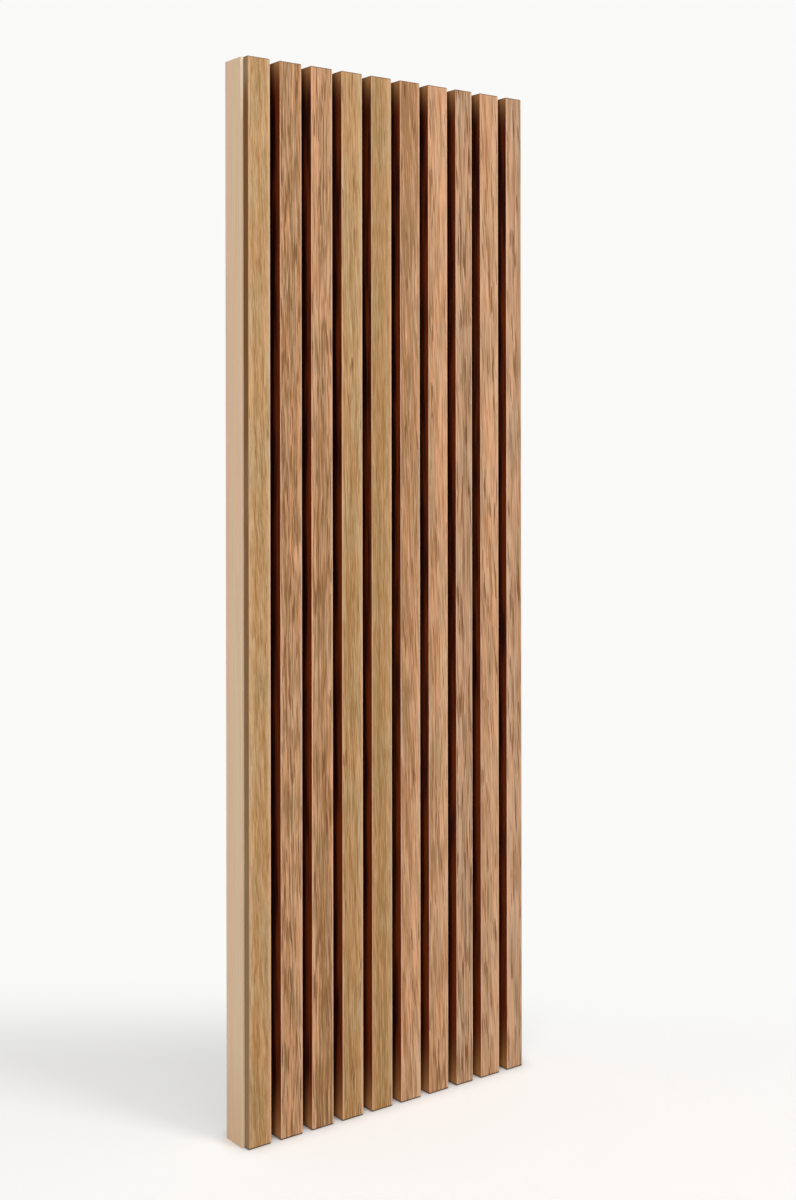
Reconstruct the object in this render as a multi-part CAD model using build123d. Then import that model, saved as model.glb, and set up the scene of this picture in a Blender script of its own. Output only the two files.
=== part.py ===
from build123d import *
import os

# Slat wall panel: ten upright hardwood slats fixed side by side on a dark
# backing board, with a thin pale strip along each long edge.
#
# Frame: +Z runs up the slats, the slats face -Y and the wall is on +Y. The
# origin is under the middle of the panel, on the surface that it stands on.
# Lengths are in millimetres, and left and right are as seen from the front.

# Panel
PANEL_HEIGHT = 1200.0

# Slats, counted from the left
SLAT_COUNT = 10
SLAT_WIDTH = 29.2
SLAT_DEPTH = 34.0
SLAT_GAP = 12.4
SLAT_FRONT_RADIUS = 1.0  # rounding of the two long front edges
SLAT_END_CHAMFER = 0.8  # sanded off the edges of both ends
NARROW_SLAT_NUMBER = 8  # sawn narrower than the rest
NARROW_SLAT_WIDTH = 25.6
LAST_SLAT_WIDTH = 24.6

# Backing board, flush with the slats at both ends
BOARD_THICKNESS = 9.0

# Edge strips, flush with the board's back
STRIP_THICKNESS = 3.0
STRIP_SETBACK = 9.0  # from the slats' front to the strip's front edge
STRIP_EDGE_RADIUS = 0.5  # rounding of the outer long edges

# Wire staples that hold the slats, driven from the back
STAPLE_ROWS = 5
STAPLE_END_DISTANCE = 60.0  # from either end of the panel to the outer rows
STAPLE_CROWN = 11.2  # over both legs
STAPLE_LENGTH = 30.0  # of a leg, with the crown
STAPLE_WIRE_WIDTH = 1.4
STAPLE_WIRE_THICKNESS = 1.1
STAPLE_POINT_LENGTH = 1.2  # of the slanted end of a leg
STAPLE_BEND_CHAMFER = 0.5  # outside of the two bends
STAPLE_SUNK = 0.4  # crown below the board's back, so that the panel lies flat

# Clearances round the staples
STAPLE_CLEARANCE = 0.05  # on each side of a leg and of the crown
STAPLE_EXTRA_DEPTH = 1.0  # beyond a leg's point

# Holes for the screws into the wall, through the board between two slats
WALL_HOLE_RADIUS = 2.5
WALL_SINK_RADIUS = 5.0  # countersink, open to the front
WALL_SINK_ANGLE = 90.0
WALL_HOLE_ROWS = 3
WALL_HOLE_END_DISTANCE = 150.0  # from either end of the panel
WALL_HOLE_GAP_NUMBER = 2  # the gap that holds them, counted in from each side

# Planes across the panel's depth
FRONT_Y = -(SLAT_DEPTH + BOARD_THICKNESS) / 2
BOARD_FRONT_Y = FRONT_Y + SLAT_DEPTH
BACK_Y = BOARD_FRONT_Y + BOARD_THICKNESS
STRIP_FRONT_Y = FRONT_Y + STRIP_SETBACK


def slat_width(number):
    """Width of one slat. One in the row is narrower, and so is the last."""
    own_widths = {NARROW_SLAT_NUMBER: NARROW_SLAT_WIDTH, SLAT_COUNT: LAST_SLAT_WIDTH}
    return own_widths.get(number, SLAT_WIDTH)


def slats_span():
    """Distance from the first slat's left side to the last one's right side."""
    widths = sum(slat_width(number) for number in range(1, SLAT_COUNT + 1))
    return widths + (SLAT_COUNT - 1) * SLAT_GAP


def slat_left(number):
    """Place along X of a slat's left side."""
    slats_before = sum(slat_width(n) + SLAT_GAP for n in range(1, number))
    return slats_before - slats_span() / 2


def slat_centre(number):
    """Place along X of a slat's middle."""
    return slat_left(number) + slat_width(number) / 2


def gap_centre(number):
    """Place along X of the middle of the gap on a slat's right."""
    return slat_left(number) + slat_width(number) + SLAT_GAP / 2


def row_heights(rows, end_distance):
    """Heights of evenly spaced rows, the outer ones end_distance from an end."""
    pitch = (PANEL_HEIGHT - 2 * end_distance) / (rows - 1)
    return [end_distance + pitch * row for row in range(rows)]


def facing_back(x, y, z):
    """A place whose own Z axis points out of the panel's back."""
    return Location((x, y, z), (-90, 0, 0))


def facing_front(x, y, z):
    """A place whose own Z axis points out of the panel's front."""
    return Location((x, y, z), (90, 0, 0))


def staple_places(number):
    """Where one slat's staples cross the board's back, facing out of it."""
    return [
        facing_back(slat_centre(number), BACK_Y, z)
        for z in row_heights(STAPLE_ROWS, STAPLE_END_DISTANCE)
    ]


def wall_hole_places():
    """Where the wall screws' axes cross the board's front, facing out of it."""
    return [
        facing_front(gap_centre(gap), BOARD_FRONT_Y, z)
        for gap in (WALL_HOLE_GAP_NUMBER, SLAT_COUNT - WALL_HOLE_GAP_NUMBER)
        for z in row_heights(WALL_HOLE_ROWS, WALL_HOLE_END_DISTANCE)
    ]


def cut_for_staples(places):
    """Takes each staple's groove and two slots out of the piece being built."""
    slot_length = STAPLE_SUNK + STAPLE_LENGTH + STAPLE_EXTRA_DEPTH
    slot_width = STAPLE_WIRE_WIDTH + 2 * STAPLE_CLEARANCE
    slot_thickness = STAPLE_WIRE_THICKNESS + 2 * STAPLE_CLEARANCE
    legs_apart = STAPLE_CROWN - STAPLE_WIRE_THICKNESS
    downwards = (Align.CENTER, Align.CENTER, Align.MAX)
    with Locations(places):
        Box(
            STAPLE_CROWN + 2 * STAPLE_CLEARANCE,
            slot_width,
            STAPLE_SUNK + STAPLE_WIRE_THICKNESS,
            align=downwards,
            mode=Mode.SUBTRACT,
        )
        with GridLocations(legs_apart, 0, 2, 1):
            Box(
                slot_thickness,
                slot_width,
                slot_length,
                align=downwards,
                mode=Mode.SUBTRACT,
            )


def build_slat(number):
    """One planed slat, with rounded front edges, sanded ends and staple slots."""
    with BuildPart() as slat:
        with Locations((slat_centre(number), FRONT_Y, 0)):
            Box(
                slat_width(number),
                SLAT_DEPTH,
                PANEL_HEIGHT,
                align=(Align.CENTER, Align.MIN, Align.MIN),
            )
        fillet(slat.edges().filter_by(Axis.Z).group_by(Axis.Y)[0], SLAT_FRONT_RADIUS)
        sanded_edges = [
            edge
            for end in slat.faces().filter_by(Axis.Z)
            for edge in end.edges().sort_by(Axis.Y)[:-1]
        ]
        chamfer(sanded_edges, SLAT_END_CHAMFER)
        cut_for_staples(staple_places(number))
    return slat.part


def build_backing_board():
    """The board behind the slats, with staple slots and wall screw holes."""
    with BuildPart() as board:
        with Locations((0, BOARD_FRONT_Y, 0)):
            Box(
                slats_span(),
                BOARD_THICKNESS,
                PANEL_HEIGHT,
                align=(Align.CENTER, Align.MIN, Align.MIN),
            )
        for number in range(1, SLAT_COUNT + 1):
            cut_for_staples(staple_places(number))
        with Locations(wall_hole_places()):
            CounterSinkHole(
                WALL_HOLE_RADIUS, WALL_SINK_RADIUS, counter_sink_angle=WALL_SINK_ANGLE
            )
    return board.part


def build_edge_strip(side):
    """The strip on the left (side -1) or right (side 1) long edge."""
    inner_x = side * slats_span() / 2
    with BuildPart() as strip:
        with Locations((inner_x + side * STRIP_THICKNESS / 2, STRIP_FRONT_Y, 0)):
            Box(
                STRIP_THICKNESS,
                BACK_Y - STRIP_FRONT_Y,
                PANEL_HEIGHT,
                align=(Align.CENTER, Align.MIN, Align.MIN),
            )
        long_edges = strip.edges().filter_by(Axis.Z)
        outer_edges = long_edges.filter_by(lambda edge: abs(edge.center().X) > abs(inner_x))
        fillet(outer_edges, STRIP_EDGE_RADIUS)
    return strip.part


def build_staple():
    """One staple in its own frame, with +Z out of its crown, at the board's back."""
    half_crown = STAPLE_CROWN / 2
    crown_z = -STAPLE_SUNK
    point_z = crown_z - STAPLE_LENGTH
    inner_x = half_crown - STAPLE_WIRE_THICKNESS
    with BuildPart() as staple:
        with BuildSketch(Plane.XZ.offset(-STAPLE_WIRE_WIDTH / 2)):
            with BuildLine():
                right_half = Polyline(
                    (0, crown_z),
                    (half_crown - STAPLE_BEND_CHAMFER, crown_z),
                    (half_crown, crown_z - STAPLE_BEND_CHAMFER),
                    (half_crown, point_z),
                    (inner_x, point_z + STAPLE_POINT_LENGTH),
                    (inner_x, crown_z - STAPLE_WIRE_THICKNESS),
                    (0, crown_z - STAPLE_WIRE_THICKNESS),
                )
                mirror(right_half, about=Plane.YZ)
            make_face()
        extrude(amount=STAPLE_WIRE_WIDTH)
    return staple.part


def build_slat_staples():
    """Every staple, with its crown seated in the board's back."""
    staple = build_staple()
    return Compound(
        children=[
            place * staple
            for number in range(1, SLAT_COUNT + 1)
            for place in staple_places(number)
        ]
    )


def build_panel():
    """Every piece of the panel by name, each at its place."""
    pieces = {f"slat_{n}": build_slat(n) for n in range(1, SLAT_COUNT + 1)}
    pieces["backing_board"] = build_backing_board()
    pieces["left_edge_strip"] = build_edge_strip(-1)
    pieces["right_edge_strip"] = build_edge_strip(1)
    pieces["slat_staples"] = build_slat_staples()
    return pieces


if __name__ == "__main__":
    os.makedirs("parts", exist_ok=True)
    for name, piece in build_panel().items():
        export_step(piece, f"parts/{name}.step")
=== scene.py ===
"""Slat wall panel: the finishes of its hardwood slats, dark board, pale edge
strips and staples, and a plain white studio round it. Lengths are in metres,
with +Z up and the slats facing -Y, except in the finishes, whose patterns are
written in millimetres because that is how wood is measured.
"""

import logging
import math
from dataclasses import dataclass
from enum import Enum
from typing import Any, Mapping, Sequence, Union

import bpy
import numpy as np
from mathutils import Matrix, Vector


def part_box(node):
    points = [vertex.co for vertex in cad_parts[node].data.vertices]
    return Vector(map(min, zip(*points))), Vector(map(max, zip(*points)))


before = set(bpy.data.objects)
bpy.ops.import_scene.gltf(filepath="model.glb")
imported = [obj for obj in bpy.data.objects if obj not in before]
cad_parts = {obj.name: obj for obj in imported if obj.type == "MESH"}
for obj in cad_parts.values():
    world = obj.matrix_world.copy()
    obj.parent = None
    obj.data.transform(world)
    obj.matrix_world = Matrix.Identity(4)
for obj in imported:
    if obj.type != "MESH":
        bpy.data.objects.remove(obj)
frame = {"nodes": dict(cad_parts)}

LOG = logging.getLogger("slat_wall_panel")
MM_PER_M = 1000.0

SCREEN_WHITE = 255
SCREEN_KNEE = 0.04045
SCREEN_SLOPE = 12.92
SCREEN_OFFSET = 0.055
SCREEN_POWER = 2.4

Number = Union[int, float]
Colour = tuple[float, float, float]
Point = tuple[float, float, float]
Size = tuple[Number, Number, Number]
Span = tuple[Number, Number]


def from_screen(red: Number, green: Number, blue: Number) -> Colour:
    """Turn a colour as a screen shows it, 0 to 255, into a linear colour.

    Args:
        red: The red channel.
        green: The green channel.
        blue: The blue channel.

    Returns:
        The linear colour, 0 to 1.
    """
    def channel(value: Number) -> float:
        """Straighten one channel, which is a line near black and a power above it.

        Args:
            value: The channel, 0 to 255.

        Returns:
            The linear channel, 0 to 1.
        """
        share = value / SCREEN_WHITE
        if share <= SCREEN_KNEE:
            return share / SCREEN_SLOPE
        return ((share + SCREEN_OFFSET) / (1 + SCREEN_OFFSET)) ** SCREEN_POWER

    return channel(red), channel(green), channel(blue)


class Signal:
    """A number that varies over a surface, as the output of a shader node."""

    def __init__(self, sheet: "ShaderSheet", socket: bpy.types.NodeSocket) -> None:
        """Wrap one output socket of a sheet's node."""
        self.sheet = sheet
        self.socket = socket

    def _math(self, operation: str, first: Any, second: Any = None) -> "Signal":
        """Add one Math node and return its output."""
        values = {0: first} if second is None else {0: first, 1: second}
        return self.sheet.node("ShaderNodeMath", {"operation": operation}, values)["Value"]

    def __add__(self, other: Any) -> "Signal":
        """Add a number or a signal."""
        return self._math("ADD", self, other)

    __radd__ = __add__

    def __sub__(self, other: Any) -> "Signal":
        """Take a number or a signal away."""
        return self._math("SUBTRACT", self, other)

    def __rsub__(self, other: Any) -> "Signal":
        """Take the signal away from a number."""
        return self._math("SUBTRACT", other, self)

    def __mul__(self, other: Any) -> "Signal":
        """Multiply by a number or a signal."""
        return self._math("MULTIPLY", self, other)

    __rmul__ = __mul__

    def __truediv__(self, other: Any) -> "Signal":
        """Divide by a number or a signal."""
        return self._math("DIVIDE", self, other)

    def __pow__(self, other: Any) -> "Signal":
        """Raise to a power."""
        return self._math("POWER", self, other)

    def sine(self) -> "Signal":
        """The sine of the signal."""
        return self._math("SINE", self)

    def root(self) -> "Signal":
        """The square root of the signal."""
        return self._math("SQRT", self)

    def size(self) -> "Signal":
        """The signal without its sign."""
        return self._math("ABSOLUTE", self)

    def least(self, other: Any) -> "Signal":
        """The smaller of the signal and another."""
        return self._math("MINIMUM", self, other)

    def most(self, other: Any) -> "Signal":
        """The larger of the signal and another."""
        return self._math("MAXIMUM", self, other)

    def rise(self, start: Number, end: Number, low: Number = 0.0, high: Number = 1.0) -> "Signal":
        """Go smoothly from low to high while the signal goes from start to end.

        Args:
            start: Where the change begins.
            end: Where the change ends.
            low: The value before the change.
            high: The value after the change.

        Returns:
            The new signal.
        """
        settings = {"interpolation_type": "SMOOTHSTEP"}
        values = {
            "Value": self,
            "From Min": start,
            "From Max": end,
            "To Min": low,
            "To Max": high,
        }
        return self.sheet.node("ShaderNodeMapRange", settings, values)["Result"]


class Outputs:
    """The outputs of one shader node, each found by its name."""

    def __init__(self, sheet: "ShaderSheet", node: bpy.types.Node) -> None:
        """Keep the sheet and the node."""
        self.sheet = sheet
        self.node = node

    def __getitem__(self, name: str) -> Signal:
        """Find the output that has this name and is in use.

        Args:
            name: The output's name.

        Returns:
            The output as a signal.
        """
        for socket in self.node.outputs:
            if socket.name == name and socket.enabled:
                return Signal(self.sheet, socket)
        raise KeyError(name)


class ShaderSheet:
    """The node tree of one material or of the world, written as expressions."""

    def __init__(self, tree: bpy.types.NodeTree) -> None:
        """Empty a node tree and keep it."""
        self.tree = tree
        tree.nodes.clear()

    def node(
        self,
        kind: str,
        settings: Mapping[str, Any] | None = None,
        values: Mapping[Union[str, int], Any] | None = None,
    ) -> Outputs:
        """Add one node.

        Args:
            kind: Blender's name for the node's type.
            settings: The node's own properties, set first.
            values: What each input gets, by its name or its place: a number,
                a colour, a vector or a signal.

        Returns:
            The node's outputs.
        """
        node = self.tree.nodes.new(kind)
        for name, value in (settings or {}).items():
            setattr(node, name, value)
        for key, value in (values or {}).items():
            self._feed(self._input(node, key), value)
        return Outputs(self, node)

    def _input(self, node: bpy.types.Node, key: Union[str, int]) -> bpy.types.NodeSocket:
        """Find an input of a node.

        Args:
            node: The node.
            key: The input's name, or its place among them all.

        Returns:
            The input at that place, or the one in use that has that name.
        """
        if isinstance(key, int):
            return node.inputs[key]
        for socket in node.inputs:
            if socket.name == key and socket.enabled:
                return socket
        raise KeyError(key)

    def _feed(self, socket: bpy.types.NodeSocket, value: Any) -> None:
        """Link a signal to an input, or set its value.

        Args:
            socket: The input.
            value: A signal, a number, a vector or a colour.
        """
        if isinstance(value, Signal):
            self.tree.links.new(value.socket, socket)
        elif isinstance(value, tuple) and socket.type == "RGBA":
            socket.default_value = (*value, 1.0)
        else:
            socket.default_value = value

    def split(self, vector: Signal) -> tuple[Signal, Signal, Signal]:
        """The three parts of a vector."""
        parts = self.node("ShaderNodeSeparateXYZ", values={"Vector": vector})
        return parts["X"], parts["Y"], parts["Z"]

    def join(self, x: Any, y: Any, z: Any) -> Signal:
        """A vector of three parts."""
        return self.node("ShaderNodeCombineXYZ", values={"X": x, "Y": y, "Z": z})["Vector"]

    def mix(self, share: Any, base: Any, top: Any, blend: str = "MIX") -> Signal:
        """Lay one colour over another.

        Args:
            share: How much of the top colour shows.
            base: The colour below.
            top: The colour above.
            blend: How the two meet, by Blender's name.

        Returns:
            The mixed colour.
        """
        settings = {"data_type": "RGBA", "blend_type": blend}
        values = {"Factor": share, "A": base, "B": top}
        return self.node("ShaderNodeMix", settings, values)["Result"]

    def noise(self, place: Signal, detail: Number, roughness: Number) -> Signal:
        """Soft noise with one feature for each unit of its place vector."""
        values = {"Vector": place, "Scale": 1.0, "Detail": detail, "Roughness": roughness}
        return self.node("ShaderNodeTexNoise", {"noise_dimensions": "3D"}, values)["Fac"]

    def place(self, offset_mm: Sequence[Number]) -> Signal:
        """Object coordinates in millimetres, moved by an offset.

        Args:
            offset_mm: What is added along X, Y and Z.

        Returns:
            The place vector.
        """
        coordinates = self.node("ShaderNodeTexCoord")["Object"]
        values = {
            "Vector": coordinates,
            "Location": Vector(offset_mm),
            "Scale": Vector((MM_PER_M,) * 3),
        }
        return self.node("ShaderNodeMapping", {"vector_type": "POINT"}, values)["Vector"]

    def stretched(self, place: Signal, size_mm: Size) -> Signal:
        """Divide a place vector by the size that one feature has each way.

        Args:
            place: The place vector.
            size_mm: One feature's size along X, Y and Z.

        Returns:
            The divided vector.
        """
        values = {0: place, 1: Vector(size_mm)}
        settings = {"operation": "DIVIDE"}
        return self.node("ShaderNodeVectorMath", settings, values)["Vector"]

    def bump(self, strength: Number, distance: Number, height: Signal) -> Signal:
        """The normal of a relief of this strength, height in metres and shape."""
        values = {"Strength": strength, "Distance": distance, "Height": height}
        return self.node("ShaderNodeBump", values=values)["Normal"]


@dataclass(frozen=True)
class Figure:
    """One kind of soft mark in a material, as noise.

    It holds the size of one mark along X, Y and Z, how many finer layers lie
    over it and how strong each is beside the one before.
    """

    size_mm: Size
    detail: Number = 2
    roughness: Number = 0.5

    def over(self, sheet: ShaderSheet, place: Signal) -> Signal:
        """The noise over a place vector, about 0.5 on average."""
        return sheet.noise(sheet.stretched(place, self.size_mm), self.detail, self.roughness)


def new_material(name: str) -> tuple[bpy.types.Material, ShaderSheet]:
    """Make a material with an empty sheet.

    Args:
        name: The material's name.

    Returns:
        The material and its sheet.
    """
    material = bpy.data.materials.new(name)
    material.use_nodes = True
    return material, ShaderSheet(material.node_tree)


def finish_surface(sheet: ShaderSheet, values: Mapping[str, Any]) -> None:
    """Close a sheet with one principled shader and the output."""
    shader = sheet.node("ShaderNodeBsdfPrincipled", values=values)
    sheet.node("ShaderNodeOutputMaterial", values={"Surface": shader["BSDF"]})


def dress(node: bpy.types.Object, material: bpy.types.Material) -> None:
    """Give a carried-over node one material."""
    node.data.materials.clear()
    node.data.materials.append(material)


class Tone(Enum):
    """The shades of wood that the slats were picked from.

    Each holds the colour of the wood's deeper streaks and of its paler ones.
    """

    OLIVE_TAN = (from_screen(154, 112, 62), from_screen(201, 165, 123))
    PINK_BROWN = (from_screen(136, 98, 56), from_screen(210, 162, 124))
    SALMON = (from_screen(155, 113, 73), from_screen(219, 171, 134))
    GREY_BROWN = (from_screen(146, 111, 76), from_screen(211, 167, 134))

    @property
    def deep(self) -> Colour:
        """The colour of the deeper streaks."""
        return self.value[0]

    @property
    def pale(self) -> Colour:
        """The colour of the paler streaks."""
        return self.value[1]


class OuterSide(Enum):
    """Which side of a slat faces out of the panel, and so has no painted gap shade."""

    NONE = 0
    LEFT = -1
    RIGHT = 1


@dataclass(frozen=True)
class SlatWood:
    """Oiled hardwood, cut from a board whose heart lay behind the slat.

    The growth rings are rounds about a heart line that leans and dips, so the
    face shows slanted lines and long arches. Pores are thin cells along the
    slat. The sides in the gaps carry a dark red-brown painted shade, deeper
    towards the board, with painted light near the ends and towards the foot.
    The front arrises carry a painted highlight, the foot a thin painted
    contact shadow, and the cut ends are darker than the face. A span says
    where a change starts and ends: those in millimetres are measured inwards
    from an edge or an end, and the others are of the signal itself.
    """

    # What differs from slat to slat
    tone: Tone
    number: int
    heart_x_mm: float
    heart_y_mm: float
    lean: float
    dip: float
    ring_width_mm: float
    wave_mm: float
    pore_share: float
    contrast: float
    streak_mm: Span
    shade: float = 0.0
    slant: float = 0.0
    bands: float = 0.5
    rim: float = 0.0
    fade: float = 0.0
    outer_side: OuterSide = OuterSide.NONE
    seed_step_mm: float = 1730.0

    # Colours
    pore_colour: Colour = from_screen(112, 70, 36)
    # painted highlight: the pale colour laid along the front arrises
    arris_highlight_colour: Colour = from_screen(226, 182, 150)
    # painted shade: the dark red-brown of the gap sides, deepest towards the board
    gap_shade: Colour = from_screen(108, 41, 6)
    deep_gap_shade: Colour = from_screen(42, 7, 1)
    # painted light: the lighter brown where light enters the gaps at the ends
    lit_end_colour: Colour = from_screen(160, 109, 62)
    # outer side's colours: lighter at the foot with painted floor light
    bare_side_top: Colour = from_screen(108, 71, 32)
    bare_side_foot: Colour = from_screen(142, 115, 84)
    end_grain: Colour = from_screen(104, 68, 40)
    # painted contact shadow: a dark line along the foot
    foot_contact_shadow: Colour = from_screen(66, 44, 27)
    cool_tint: Colour = (0.955, 1.02, 1.06)
    warm_tint: Colour = (1.045, 0.98, 0.94)

    # Marks of the grain
    slow_sway: Figure = Figure((60, 60, 210), 1)
    quick_sway: Figure = Figure((11, 11, 58), 1)
    ring_shake: Figure = Figure((7, 7, 60))
    pore_crowds: Figure = Figure((5, 5, 55), 1)
    broad_streaks: Figure = Figure((2.4, 2.4, 64))
    long_bands: Figure = Figure((2.2, 2.2, 700), 1)
    patches: Figure = Figure((12, 12, 95))
    flushes: Figure = Figure((10, 10, 85), 1)
    side_streaks: Figure = Figure((1.6, 1.6, 110), 2, 0.6)
    side_patches: Figure = Figure((8, 8, 90))
    # noise that breaks up the painted arris highlight
    highlight_breakup: Figure = Figure((60, 60, 90))
    fibres: Figure = Figure((0.5, 0.5, 12), 2, 0.6)
    fine_roughness: float = 0.6

    # Sizes and spans of the face
    slow_sway_mm: float = 7.0
    ring_shake_mm: float = 5.0
    ring_line: Span = (-0.3, 1.0)
    ring_mean: float = 0.4
    pore_cell_mm: float = 1.6
    pore_length_mm: float = 20.0
    pore_crowd: Span = (0.70, 0.88)
    pore_crowd_shift: float = 0.4
    pore_reach: Span = (0.02, 0.42)
    pore_rim: Span = (-0.07, 0.05)
    flush: Span = (0.3, 0.7)
    half_face_mm: float = 13.0
    half_face_mean: float = 0.33
    half_slat_mm: float = 600.0

    # Weights of what makes the face paler or deeper
    fine_weight: float = 2.8
    broad_weight: float = 0.4
    patch_weight: float = 0.5
    ring_weight: float = 0.2
    pore_weight: float = 0.8

    # Painted shade of the gap sides, with painted light near the ends and the foot
    side_streak_weight: float = 0.4
    side_patch_weight: float = 0.6
    gap_shade_offset_mm: float = 10.0
    gap_shade_per_mm: float = 0.009
    floor_light_per_mm: float = 0.00014
    gap_shade_turn: Span = (0.38, 0.62)
    top_light_mm: float = 44.0
    foot_light_mm: float = 76.0
    end_light_share: float = 0.7
    bare_change_mm: Span = (-600.0, 600.0)
    bare_change_sway_mm: float = 300.0
    bare_top_mm: float = 45.0
    bare_top_sway_mm: float = 15.0
    bare_turn_mm: Span = (0.0, 1.0)

    # Edges and ends, with the painted arris highlight and the painted contact shadow at the foot
    highlight_breakup_turn: Span = (0.34, 0.66)
    highlight_breakup_share: Span = (0.45, 1.0)
    left_highlight_mm: Span = (0.8, 1.5)
    left_highlight_share: float = 0.6
    right_highlight_mm: Span = (1.2, 2.4)
    right_highlight_share: float = 0.8
    side_turn_mm: Span = (0.12, 0.42)
    outer_turn_mm: Span = (0.7, 1.1)
    sawn_mm: Span = (0.5, 1.5)
    sawn_share: float = 0.85
    end_ring_share: float = 0.5
    # span and share of the painted contact shadow along the foot
    foot_mm: Span = (1.1, 2.1)
    foot_share: float = 0.9

    # Relief and gloss
    fibre_relief: float = 0.3
    pore_relief: float = 0.6
    ring_relief: float = 0.1
    relief_strength: float = 0.4
    relief_height: float = 0.0004
    roughness: float = 0.5
    pore_roughness: float = 0.2
    side_roughness: float = 0.12
    sawn_roughness: float = 0.1
    specular: float = 0.2

    def grain_place(self, sheet: ShaderSheet, place: Signal) -> Signal:
        """Sway the X of a place vector slowly and quickly, as the grain does.

        Args:
            sheet: The material's sheet.
            place: The slat's place vector.

        Returns:
            The swaying place vector.
        """
        x, y, z = sheet.split(place)
        slow = self.slow_sway.over(sheet, place) - 0.5
        quick = self.quick_sway.over(sheet, place) - 0.5
        sway = x + z * self.lean + slow * self.slow_sway_mm + quick * self.wave_mm
        return sheet.join(sway, y, z)

    def rings(self, sheet: ShaderSheet, own: Signal, place: Signal) -> Signal:
        """The growth rings: 0 in the early wood of a ring, 1 in its late wood.

        The distance from the heart line is the root of the sum of the squares
        of the two offsets, shaken by noise, and each ring is one turn of a
        sine of it, sharpened to a thin line.

        Args:
            sheet: The material's sheet.
            own: The place vector from the slat's middle.
            place: The slat's place vector in the noise.

        Returns:
            The rings.
        """
        x, y, z = sheet.split(own)
        shake = self.ring_shake.over(sheet, place) - 0.5
        across = x + z * self.lean - self.heart_x_mm
        inward = y + z * self.dip - self.heart_y_mm
        distance = (across * across + inward * inward).root() + shake * self.ring_shake_mm
        wave = (distance * (2 * math.pi / self.ring_width_mm)).sine()
        return wave.rise(*self.ring_line)

    def pores(self, sheet: ShaderSheet, grain: Signal) -> Signal:
        """Short strokes along the grain, one in each Voronoi cell: 1 inside a stroke.

        Args:
            sheet: The material's sheet.
            grain: The swaying place vector.

        Returns:
            The mask of the pores.
        """
        _, streak_length = self.streak_mm
        cell = (self.pore_cell_mm, self.pore_cell_mm, self.pore_length_mm + streak_length / 2)
        cells = sheet.node(
            "ShaderNodeTexVoronoi",
            {"feature": "F1"},
            {"Vector": sheet.stretched(grain, cell), "Scale": 1.0},
        )["Distance"]
        shift = self.pore_share * self.pore_crowd_shift
        start, end = self.pore_crowd
        crowd = self.pore_crowds.over(sheet, grain)
        reach = crowd.rise(start - shift, end - shift, *self.pore_reach)
        return 1 - (cells - reach).rise(*self.pore_rim)

    def face_colour(self, sheet: ShaderSheet, own: Signal, place: Signal, rings: Signal) -> Signal:
        """The colour of the planed face without its pores.

        How pale a point is adds up from fine streaks, broader streaks, long
        bands, patches, the rings, and a slow change across and along the slat.

        Args:
            sheet: The material's sheet.
            own: The place vector from the slat's middle.
            place: The slat's place vector in the noise.
            rings: The growth rings.

        Returns:
            The colour.
        """
        grain = self.grain_place(sheet, place)
        width, length = self.streak_mm
        streaks = Figure((width, width, length), 2, self.fine_roughness)
        fine = streaks.over(sheet, grain) - 0.5
        broad = self.broad_streaks.over(sheet, grain) - 0.5
        bands = self.long_bands.over(sheet, grain) - 0.5
        patches = self.patches.over(sheet, grain) - 0.5
        x, _, z = sheet.split(own)
        pale = (
            (0.5 + self.shade)
            + x * (self.slant / self.half_face_mm)
            + (x * x / self.half_face_mm ** 2 - self.half_face_mean) * self.rim
            + z * (self.fade / self.half_slat_mm)
            + fine * (self.fine_weight * self.contrast)
            + broad * (self.broad_weight * self.contrast)
            + bands * self.bands
            + patches * (self.patch_weight * self.contrast)
            - (rings - self.ring_mean) * (self.ring_weight * self.contrast)
        )
        colour = sheet.mix(pale, self.tone.deep, self.tone.pale)
        flush = self.flushes.over(sheet, place).rise(*self.flush)
        tint = sheet.mix(flush, self.cool_tint, self.warm_tint)
        return sheet.mix(1.0, colour, tint, "MULTIPLY")

    def side_colour(
        self, sheet: ShaderSheet, own: Signal, place: Signal, half_length: float
    ) -> Signal:
        """The colour of the sides and the back.

        They carry a red-brown painted shade for the gaps, deeper towards the
        board, with painted light near the ends and towards the foot. An outer
        side is bare wood, lighter towards the foot with painted floor light.

        Args:
            sheet: The material's sheet.
            own: The place vector from the slat's middle.
            place: The slat's place vector in the noise.
            half_length: Half the slat's length in millimetres.

        Returns:
            The colour.
        """
        streaks = self.side_streaks.over(sheet, place)
        patches = self.side_patches.over(sheet, place)
        x, depth, z = sheet.split(own)
        # painted shade level: darker towards the board, lighter below the middle with painted
        # floor light
        tone = (
            streaks * self.side_streak_weight
            + patches * self.side_patch_weight
            - (depth + self.gap_shade_offset_mm) * self.gap_shade_per_mm
            + (0 - z).most(0) * self.floor_light_per_mm
        ).rise(*self.gap_shade_turn)
        # painted light where light enters the gaps at the top and at the foot; thin is its share
        from_top = (half_length - z) / self.top_light_mm
        from_foot = (z + half_length) / self.foot_light_mm
        thin = ((1 - from_top).most(0) ** 2).most((1 - from_foot).most(0) ** 2)
        gap_shaded = sheet.mix(tone, self.deep_gap_shade, self.gap_shade)
        gap_shaded = sheet.mix(thin * (self.end_light_share + streaks), gap_shaded, self.lit_end_colour)
        if self.outer_side is OuterSide.NONE:
            return gap_shaded
        # outer side: painted floor light makes it lighter towards the foot; the top end turns back
        # to the foot's colour
        height = (z + (tone - 0.5) * self.bare_change_sway_mm).rise(*self.bare_change_mm)
        bare = sheet.mix(height, self.bare_side_foot, self.bare_side_top)
        start = half_length - self.bare_top_mm
        top = (z + tone * self.bare_top_sway_mm).rise(start, half_length)
        bare = sheet.mix(top, bare, self.bare_side_foot)
        outer = (x * self.outer_side.value).rise(*self.bare_turn_mm)
        return sheet.mix(outer, gap_shaded, bare)

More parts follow.
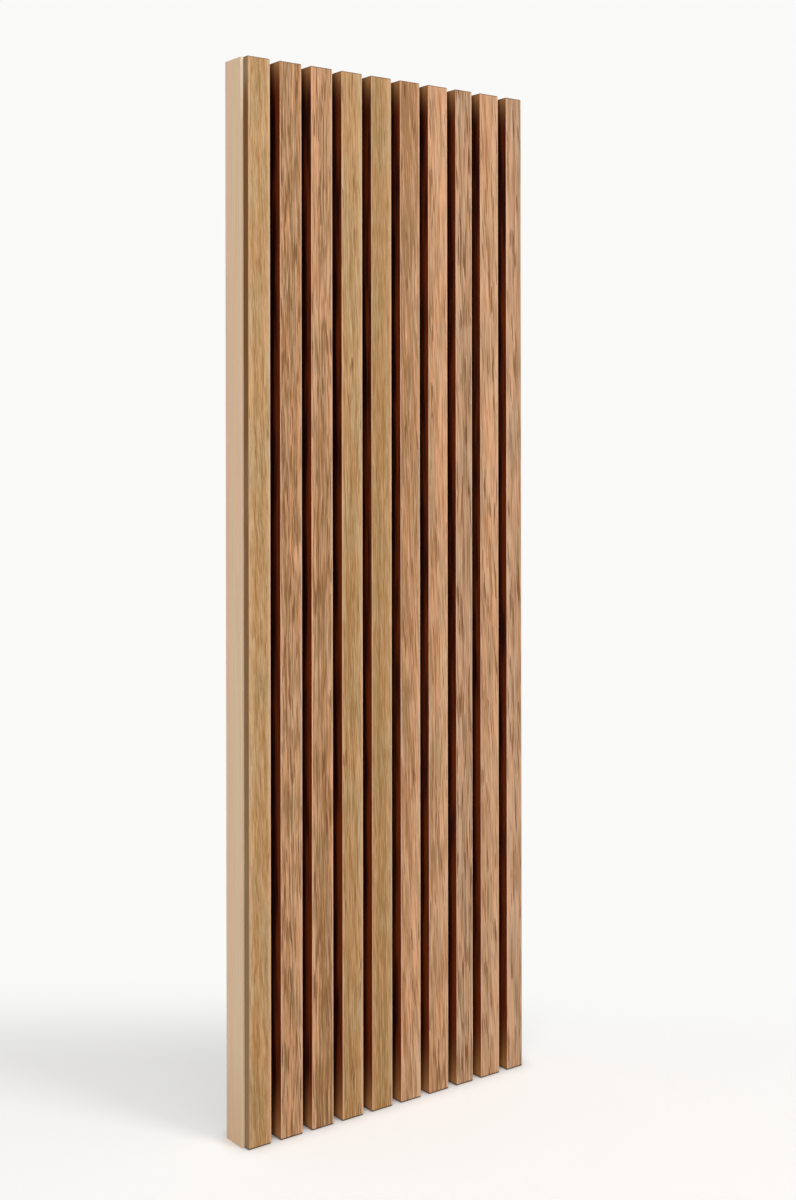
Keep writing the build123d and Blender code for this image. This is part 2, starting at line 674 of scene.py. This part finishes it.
    def material(self, low: Vector, high: Vector) -> bpy.types.Material:
        """Write the finish for the slat in this box.

        Args:
            low: The slat's lowest corner.
            high: The slat's highest corner.

        Returns:
            The material.
        """
        material, sheet = new_material(f"slat_wood_{self.number}")
        middle = (low + high) / 2
        centre = [-part * MM_PER_M for part in middle]
        own = sheet.place(centre)
        place = sheet.place((centre[0], centre[1], self.number * self.seed_step_mm))
        grain = self.grain_place(sheet, place)
        rings = self.rings(sheet, own, place)
        pores = self.pores(sheet, grain)
        face = self.face_colour(sheet, own, place, rings)
        face = sheet.mix(pores * (self.pore_weight * self.contrast), face, self.pore_colour)

        half_width, half_depth, half_length = (high - low) * (MM_PER_M / 2)
        x, y, z = sheet.split(own)
        # painted highlight: a pale band along each front arris, broken up by noise
        highlight_breakup = self.highlight_breakup.over(sheet, place).rise(*self.highlight_breakup_turn, *self.highlight_breakup_share)
        left_highlight = 1 - (half_width + x).rise(*self.left_highlight_mm)
        right_highlight = 1 - (half_width - x).rise(*self.right_highlight_mm)
        arris_highlight = (left_highlight * self.left_highlight_share).most(right_highlight * self.right_highlight_share)
        face = sheet.mix(arris_highlight * highlight_breakup, face, self.arris_highlight_colour)
        side = (y + half_depth).rise(*self.side_turn_mm)
        if self.outer_side is OuterSide.LEFT:
            side = side.most(1 - (half_width + x).rise(*self.outer_turn_mm))
        colour = sheet.mix(side, face, self.side_colour(sheet, own, place, half_length))
        sawn = 1 - (half_length - z.size()).rise(*self.sawn_mm)
        ends = sheet.mix(rings * self.end_ring_share, self.end_grain, self.tone.deep)
        colour = sheet.mix(sawn * self.sawn_share, colour, ends)
        # painted contact shadow: the last two millimetres of the foot darkened
        foot = 1 - (half_length + z).rise(*self.foot_mm)
        colour = sheet.mix(foot * self.foot_share, colour, self.foot_contact_shadow)

        relief = (
            self.fibres.over(sheet, grain) * self.fibre_relief
            + (1 - pores) * self.pore_relief
            + (1 - rings) * self.ring_relief
        )
        roughness = (
            self.roughness
            + pores * self.pore_roughness
            + side * self.side_roughness
            + sawn * self.sawn_roughness
        )
        finish_surface(sheet, {
            "Base Color": colour,
            "Roughness": roughness,
            "Specular IOR Level": self.specular,
            "Normal": sheet.bump(self.relief_strength, self.relief_height, relief),
        })
        return material


@dataclass(frozen=True)
class PaleWood:
    """Unfinished pale wood of the edge strips, with soft streaks and no pores.

    The spans in millimetres are measured inwards from the end or the edge
    that they are named for.
    """

    plain: Colour = from_screen(221, 196, 162)
    blush: Colour = from_screen(228, 189, 163)
    shade: Colour = from_screen(210, 178, 146)
    front_edge: Colour = from_screen(216, 190, 160)
    # painted highlight: the cream line on the front edge near the top end
    front_edge_highlight: Colour = from_screen(240, 222, 198)
    foot: Colour = from_screen(204, 166, 130)
    cut_end: Colour = from_screen(186, 152, 116)
    fibre_deep: Colour = (0.93, 0.92, 0.91)
    fibre_pale: Colour = (1.06, 1.06, 1.07)

    bands: Figure = Figure((5, 5, 420))
    streaks: Figure = Figure((1.8, 1.8, 160), 3, 0.6)
    fibres: Figure = Figure((0.5, 0.5, 14), 2, 0.6)
    band_turn: Span = (0.44, 0.56)
    streak_turn: Span = (0.46, 0.7)
    streak_share: float = 0.7
    foot_mm: Span = (0, 130)
    foot_share: float = 0.6
    sawn_mm: Span = (0.1, 0.5)
    sawn_share: float = 0.7
    edge_highlight_mm: Span = (20, 90)
    edge_mm: Span = (0.3, 0.9)
    relief_strength: float = 0.25
    relief_height: float = 0.0003
    roughness: float = 0.6
    streak_roughness: float = 0.1
    specular: float = 0.3

    def material(self, name: str, low: Vector, high: Vector) -> bpy.types.Material:
        """Write the finish for the strip in this box.

        Args:
            name: The material's name.
            low: The strip's lowest corner.
            high: The strip's highest corner.

        Returns:
            The material.
        """
        material, sheet = new_material(name)
        middle = (low + high) / 2
        place = sheet.place((-middle.x * MM_PER_M, -middle.y * MM_PER_M, 0))
        streaks = self.streaks.over(sheet, place)
        fibres = self.fibres.over(sheet, place)
        bands = self.bands.over(sheet, place).rise(*self.band_turn)
        colour = sheet.mix(bands, self.plain, self.blush)
        colour = sheet.mix(streaks.rise(*self.streak_turn) * self.streak_share, colour, self.shade)
        fine = sheet.mix(fibres, self.fibre_deep, self.fibre_pale)
        colour = sheet.mix(1.0, colour, fine, "MULTIPLY")
        _, _, height = sheet.split(place)
        colour = sheet.mix(height.rise(*self.foot_mm, self.foot_share, 0), colour, self.foot)
        length = (high.z - low.z) * MM_PER_M
        sawn = 1 - height.least(length - height).rise(*self.sawn_mm)
        colour = sheet.mix(sawn * self.sawn_share, colour, self.cut_end)
        _, depth, _ = sheet.split(sheet.place((0, -low.y * MM_PER_M, 0)))
        # painted highlight: the front edge turns cream towards the top end
        from_top = (length - height).rise(*self.edge_highlight_mm)
        edge = sheet.mix(from_top, self.front_edge_highlight, self.front_edge)
        colour = sheet.mix(1 - depth.rise(*self.edge_mm), colour, edge)
        finish_surface(sheet, {
            "Base Color": colour,
            "Roughness": self.roughness + streaks * self.streak_roughness,
            "Specular IOR Level": self.specular,
            "Normal": sheet.bump(self.relief_strength, self.relief_height, fibres),
        })
        return material


@dataclass(frozen=True)
class DyedFibre:
    """Fibreboard dyed dark right through, with a pressed, slightly mottled face."""

    plain: Colour = from_screen(42, 30, 25)
    mottle: Colour = from_screen(58, 43, 35)
    fleck: Colour = from_screen(86, 64, 50)

    clouds: Figure = Figure((40, 40, 40), 4, 0.6)
    fibres: Figure = Figure((0.9, 3, 1.4), 3, 0.7)
    flecks: Figure = Figure((1.3, 1.3, 1.3), 1)
    cloud_turn: Span = (0.35, 0.65)
    fleck_turn: Span = (0.68, 0.8)
    fleck_share: float = 0.6
    relief_strength: float = 0.3
    relief_height: float = 0.0003
    roughness: float = 0.78
    fibre_roughness: float = 0.15
    specular: float = 0.3

    def material(self, name: str) -> bpy.types.Material:
        """Write the board's finish.

        Args:
            name: The material's name.

        Returns:
            The material.
        """
        material, sheet = new_material(name)
        place = sheet.place((0, 0, 0))
        clouds = self.clouds.over(sheet, place).rise(*self.cloud_turn)
        fibres = self.fibres.over(sheet, place)
        flecks = self.flecks.over(sheet, place).rise(*self.fleck_turn)
        colour = sheet.mix(clouds, self.plain, self.mottle)
        colour = sheet.mix(flecks * self.fleck_share, colour, self.fleck)
        finish_surface(sheet, {
            "Base Color": colour,
            "Roughness": self.roughness + fibres * self.fibre_roughness,
            "Specular IOR Level": self.specular,
            "Normal": sheet.bump(self.relief_strength, self.relief_height, fibres),
        })
        return material


@dataclass(frozen=True)
class GalvanisedWire:
    """Zinc-coated staple wire, dulled, with marks along it from drawing."""

    bright: Colour = from_screen(196, 194, 188)
    dull: Colour = from_screen(146, 144, 138)

    marks: Figure = Figure((4, 0.3, 0.3), 3, 0.6)
    stains: Figure = Figure((2.5, 2.5, 2.5))
    mark_weight: float = 0.5
    stain_weight: float = 0.5
    turn: Span = (0.35, 0.65)
    roughness: float = 0.34
    stain_roughness: float = 0.24

    def material(self, name: str) -> bpy.types.Material:
        """Write the wire's finish.

        Args:
            name: The material's name.

        Returns:
            The material.
        """
        material, sheet = new_material(name)
        place = sheet.place((0, 0, 0))
        marks = self.marks.over(sheet, place)
        stains = self.stains.over(sheet, place)
        brightness = (marks * self.mark_weight + stains * self.stain_weight).rise(*self.turn)
        finish_surface(sheet, {
            "Base Color": sheet.mix(brightness, self.dull, self.bright),
            "Metallic": 1.0,
            "Roughness": self.roughness + stains * self.stain_roughness,
        })
        return material


SLAT_CUTS = (
    SlatWood(
        Tone.OLIVE_TAN, number=1, heart_x_mm=-60.0, heart_y_mm=65.0, lean=0.034, dip=0.020,
        ring_width_mm=6.5, wave_mm=2.4, pore_share=0.30, contrast=0.85, streak_mm=(1.1, 20.0),
        shade=0.03, bands=0.35, rim=0.40, fade=0.06, outer_side=OuterSide.LEFT,
    ),
    SlatWood(
        Tone.PINK_BROWN, number=2, heart_x_mm=3.0, heart_y_mm=48.0, lean=0.016, dip=0.060,
        ring_width_mm=4.6, wave_mm=3.0, pore_share=0.75, contrast=0.96, streak_mm=(1.1, 34.0),
        shade=-0.03, slant=0.03, bands=1.0, rim=0.18, fade=-0.09,
    ),
    SlatWood(
        Tone.PINK_BROWN, number=3, heart_x_mm=-6.0, heart_y_mm=44.0, lean=0.004, dip=0.055,
        ring_width_mm=5.0, wave_mm=3.0, pore_share=0.65, contrast=0.98, streak_mm=(1.1, 40.0),
        shade=-0.04, slant=-0.09, bands=1.2, rim=0.36, fade=0.12,
    ),
    SlatWood(
        Tone.OLIVE_TAN, number=4, heart_x_mm=60.0, heart_y_mm=70.0, lean=0.022, dip=0.015,
        ring_width_mm=6.0, wave_mm=1.8, pore_share=0.40, contrast=0.95, streak_mm=(1.1, 30.0),
        shade=-0.07, slant=0.17, bands=0.65, rim=0.34, fade=0.12,
    ),
    SlatWood(
        Tone.OLIVE_TAN, number=5, heart_x_mm=-80.0, heart_y_mm=60.0, lean=0.022, dip=0.020,
        ring_width_mm=5.6, wave_mm=1.6, pore_share=0.30, contrast=0.80, streak_mm=(1.2, 28.0),
        shade=-0.14, slant=0.14, bands=0.4, rim=0.28, fade=0.04,
    ),
    SlatWood(
        Tone.SALMON, number=6, heart_x_mm=12.0, heart_y_mm=52.0, lean=0.036, dip=0.040,
        ring_width_mm=6.4, wave_mm=2.0, pore_share=0.50, contrast=1.08, streak_mm=(1.1, 36.0),
        shade=-0.18, slant=0.20, bands=0.8, rim=0.12, fade=-0.22,
    ),
    SlatWood(
        Tone.SALMON, number=7, heart_x_mm=-14.0, heart_y_mm=56.0, lean=0.029, dip=0.045,
        ring_width_mm=5.8, wave_mm=2.0, pore_share=0.55, contrast=1.00, streak_mm=(1.1, 38.0),
        shade=0.03, slant=0.19, fade=0.12,
    ),
    SlatWood(
        Tone.GREY_BROWN, number=8, heart_x_mm=16.0, heart_y_mm=46.0, lean=0.016, dip=0.040,
        ring_width_mm=4.8, wave_mm=1.6, pore_share=0.72, contrast=1.18, streak_mm=(1.15, 56.0),
        slant=-0.09, bands=0.9, rim=0.22, fade=0.05,
    ),
    SlatWood(
        Tone.SALMON, number=9, heart_x_mm=10.0, heart_y_mm=54.0, lean=0.040, dip=0.050,
        ring_width_mm=6.2, wave_mm=1.6, pore_share=0.62, contrast=0.98, streak_mm=(1.1, 44.0),
        shade=0.08, slant=0.16, fade=0.05,
    ),
    SlatWood(
        Tone.GREY_BROWN, number=10, heart_x_mm=-12.0, heart_y_mm=50.0, lean=0.036, dip=0.035,
        ring_width_mm=5.2, wave_mm=1.8, pore_share=0.64, contrast=1.02, streak_mm=(1.15, 56.0),
        shade=0.11, slant=-0.23, rim=0.10, fade=-0.10, outer_side=OuterSide.RIGHT,
    ),
)


@dataclass
class SlatRow:
    """The ten slats, each with the cut of wood that it shows in the photo."""

    nodes: Mapping[str, bpy.types.Object]
    cuts: Sequence[SlatWood] = SLAT_CUTS

    def dress(self) -> None:
        """Give each slat its wood."""
        for cut in self.cuts:
            name = f"slat_{cut.number}"
            low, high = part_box(name)
            dress(self.nodes[name], cut.material(low, high))
            LOG.info("%s dressed as %s", name, cut.tone.name.lower())


@dataclass
class Backing:
    """The board behind the slats, with its staples and the two edge strips."""

    nodes: Mapping[str, bpy.types.Object]
    board: DyedFibre = DyedFibre()
    strips: PaleWood = PaleWood()
    staples: GalvanisedWire = GalvanisedWire()

    def dress(self) -> None:
        """Give the board, the staples and the strips their finishes."""
        dress(self.nodes["backing_board"], self.board.material("dyed_board"))
        LOG.info("backing_board dressed")
        dress(self.nodes["slat_staples"], self.staples.material("staple_wire"))
        LOG.info("slat_staples dressed")
        for name in ("left_edge_strip", "right_edge_strip"):
            low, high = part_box(name)
            dress(self.nodes[name], self.strips.material(f"{name}_wood", low, high))
            LOG.info("%s dressed", name)


@dataclass(frozen=True)
class Lamp:
    """One soft rectangular lamp, which the camera doesn't see."""

    name: str
    place: Point
    size: tuple[float, float]
    watts: float
    aim: Point = (0.0, 0.0, 0.6)
    colour: Colour = (1.0, 0.99, 0.97)

    def build(self) -> None:
        """Hang the lamp at its place, facing its aim."""
        data = bpy.data.lights.new(self.name, "AREA")
        data.shape = "RECTANGLE"
        data.size, data.size_y = self.size
        data.energy = self.watts
        data.color = self.colour
        lamp = bpy.data.objects.new(self.name, data)
        lamp.location = self.place
        lamp.rotation_mode = "QUATERNION"
        heading = Vector(self.aim) - Vector(self.place)
        lamp.rotation_quaternion = heading.to_track_quat("-Z", "Y")
        lamp.visible_camera = False
        bpy.context.scene.collection.objects.link(lamp)


@dataclass
class Studio:
    """A white floor that fades into a white surround, soft lamps and a camera."""

    floor_radius: float = 14.0
    floor_rings: int = 48
    floor_spokes: int = 96
    floor_gap: float = 0.0002
    floor_colour: Colour = (0.9, 0.895, 0.89)
    floor_glow: float = 0.455
    glow_reach: float = 0.022
    glow_samples: int = 8
    sweep: Span = (0.09, 0.42)
    edge: Span = (1.1, 2.2)
    surround: Colour = (0.955, 0.955, 0.945)
    ambient_turn: Span = (0.1, 0.9)
    ambient_strength: Span = (0.52, 0.2)
    lamps: Sequence[Lamp] = (
        Lamp("main_lamp", place=(1.27, -3.48, 3.95), size=(1.3, 1.3), watts=60.5),
        Lamp("wide_lamp", place=(-0.40, -3.60, 3.60), size=(5.0, 2.4), watts=24.0),
        Lamp(
            "left_lamp", place=(-3.5, -3.1, 0.80), size=(1.6, 1.2), watts=104.0,
            aim=(-0.1, 0.0, 0.6),
        ),
    )

    camera_place: Point = (-1.1072, -1.5255, 0.7834)
    camera_heading_deg: float = -36.53
    camera_roll_deg: float = 0.08
    focal_length_mm: float = 47.92
    sensor_width_mm: float = 36.0
    frame_drop: float = -0.1373

    def build_floor(self) -> bpy.types.Object:
        """Make the floor as a flat disc.

        A point is given by its radius, which grows as the square of the first
        parameter, and by its angle, which is the second parameter.

        Returns:
            The floor.
        """
        u, v = np.meshgrid(
            np.linspace(0.0, 1.0, self.floor_rings + 1)[1:],
            np.linspace(0.0, 2 * np.pi, self.floor_spokes, endpoint=False),
            indexing="ij",
        )
        radius = self.floor_radius * u ** 2
        height = np.full_like(u, -self.floor_gap)
        rounds = np.stack([radius * np.cos(v), radius * np.sin(v), height], -1)
        points = np.vstack([[[0.0, 0.0, -self.floor_gap]], rounds.reshape(-1, 3)])
        ring, spoke = np.meshgrid(
            np.arange(self.floor_rings - 1), np.arange(self.floor_spokes), indexing="ij"
        )
        out = self.floor_spokes
        here = 1 + ring * out + spoke
        beside = 1 + ring * out + (spoke + 1) % out
        quads = np.stack([here, here + out, beside + out, beside], -1).reshape(-1, 4)
        spokes = np.arange(out)
        fan = np.stack([np.zeros_like(spokes), 1 + spokes, 1 + (spokes + 1) % out], -1)
        mesh = bpy.data.meshes.new("studio_floor")
        mesh.from_pydata(points.tolist(), [], fan.tolist() + quads.tolist())
        mesh.update()
        floor = bpy.data.objects.new("studio_floor", mesh)
        bpy.context.scene.collection.objects.link(floor)
        mesh.materials.append(self.floor_material())
        return floor

    def background_rays(self, sheet: ShaderSheet) -> Signal:
        """1 for the rays that show the background: camera, glossy and transmission rays."""
        path = sheet.node("ShaderNodeLightPath")
        return path["Is Camera Ray"].most(path["Is Glossy Ray"]).most(path["Is Transmission Ray"])

    def floor_material(self) -> bpy.types.Material:
        """White paper that takes the panel's shadow.

        It turns into the surround behind the panel, past a line square to the
        camera's heading, and a long way off on every side.
        A faint glow lifts it near to white, except close under the panel.

        Returns:
            The material.
        """
        material, sheet = new_material("studio_paper")
        seen = self.background_rays(sheet)
        paper = sheet.node("ShaderNodeBsdfDiffuse", values={"Color": self.floor_colour})["BSDF"]
        shelter = sheet.node(
            "ShaderNodeAmbientOcclusion",
            {"samples": self.glow_samples},
            {"Distance": self.glow_reach},
        )["AO"]
        glow = sheet.node(
            "ShaderNodeEmission", values={"Color": self.surround, "Strength": self.floor_glow}
        )["Emission"]
        glow = sheet.node("ShaderNodeMixShader", values={0: seen * shelter, 2: glow})["Shader"]
        near = sheet.node("ShaderNodeAddShader", values={0: paper, 1: glow})["Shader"]
        far = sheet.node(
            "ShaderNodeEmission", values={"Color": self.surround, "Strength": 1.0}
        )["Emission"]
        x, y, _ = sheet.split(sheet.place((0, 0, 0)))
        heading = math.radians(self.camera_heading_deg)
        behind = (y * math.cos(heading) - x * math.sin(heading)) / MM_PER_M
        distance = (x * x + y * y).root() / MM_PER_M
        share = seen * behind.rise(*self.sweep).most(distance.rise(*self.edge))
        mixed = sheet.node("ShaderNodeMixShader", values={0: share, 1: near, 2: far})["Shader"]
        sheet.node("ShaderNodeOutputMaterial", values={"Surface": mixed})
        return material

    def build_world(self) -> None:
        """White where the camera or a reflection sees it, and a soft ambient light."""
        world = bpy.data.worlds.new("studio_world")
        bpy.context.scene.world = world
        world.use_nodes = True
        sheet = ShaderSheet(world.node_tree)
        seen = self.background_rays(sheet)
        _, _, up = sheet.split(sheet.node("ShaderNodeTexCoord")["Generated"])
        ambient = up.rise(*self.ambient_turn, *self.ambient_strength)
        strength = ambient + (1 - ambient) * seen
        light = sheet.node(
            "ShaderNodeBackground", values={"Color": self.surround, "Strength": strength}
        )["Background"]
        sheet.node("ShaderNodeOutputWorld", values={"Surface": light})

    def build_camera(self) -> None:
        """The camera at the photo's place and heading, level but for a slight roll."""
        data = bpy.data.cameras.new("photo_camera")
        data.sensor_width = self.sensor_width_mm
        data.sensor_fit = "AUTO"
        data.lens = self.focal_length_mm
        data.shift_y = self.frame_drop
        camera = bpy.data.objects.new("photo_camera", data)
        camera.location = self.camera_place
        roll, heading = math.radians(self.camera_roll_deg), math.radians(self.camera_heading_deg)
        camera.rotation_euler = (math.pi / 2, roll, heading)
        bpy.context.scene.collection.objects.link(camera)
        bpy.context.scene.camera = camera

    def build(self) -> None:
        """Make the whole studio."""
        self.build_floor()
        self.build_world()
        for lamp in self.lamps:
            lamp.build()
        self.build_camera()
        bpy.context.scene.view_settings.view_transform = "Standard"
        LOG.info("studio built")


def main() -> None:
    """Dress the panel and build the studio round it."""
    logging.basicConfig(level=logging.INFO, format="%(name)s: %(message)s")
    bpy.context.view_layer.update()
    SlatRow(frame["nodes"]).dress()
    Backing(frame["nodes"]).dress()
    Studio().build()


if __name__ == "__main__":
    main()
